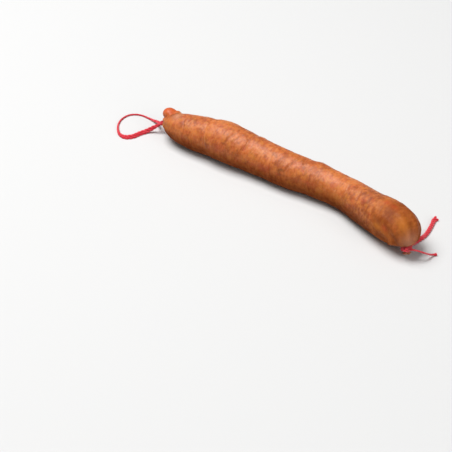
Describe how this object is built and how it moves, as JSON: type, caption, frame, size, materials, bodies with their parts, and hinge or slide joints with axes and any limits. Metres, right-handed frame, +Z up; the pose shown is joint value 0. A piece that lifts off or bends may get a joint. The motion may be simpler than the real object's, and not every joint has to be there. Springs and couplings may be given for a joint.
{
  "type": "cured sausage",
  "caption": "Whole cured sausage in a wrinkled casing, tied off at both ends with thick red cotton twine, with a hanging loop at one end.",
  "frame": {"origin": "under the middle of the sausage's box without its loose twine, on the surface it rests on", "axes": "+X along the sausage from the tapered end with the hanging loop to the blunt end, +Z up"},
  "size_m": [0.3668, 0.0851, 0.0382],
  "materials": {
    "casing": "satin",
    "twine": "matte"
  },
  "bodies": {
    "root": {"cured_sausage": "casing", "hang_wrap": "twine", "hang_knot": "twine", "hang_loop": "twine", "end_wrap": "twine", "end_knot": "twine", "end_tail_upper": "twine", "end_tail_lower": "twine"}
  },
  "joints": []
}
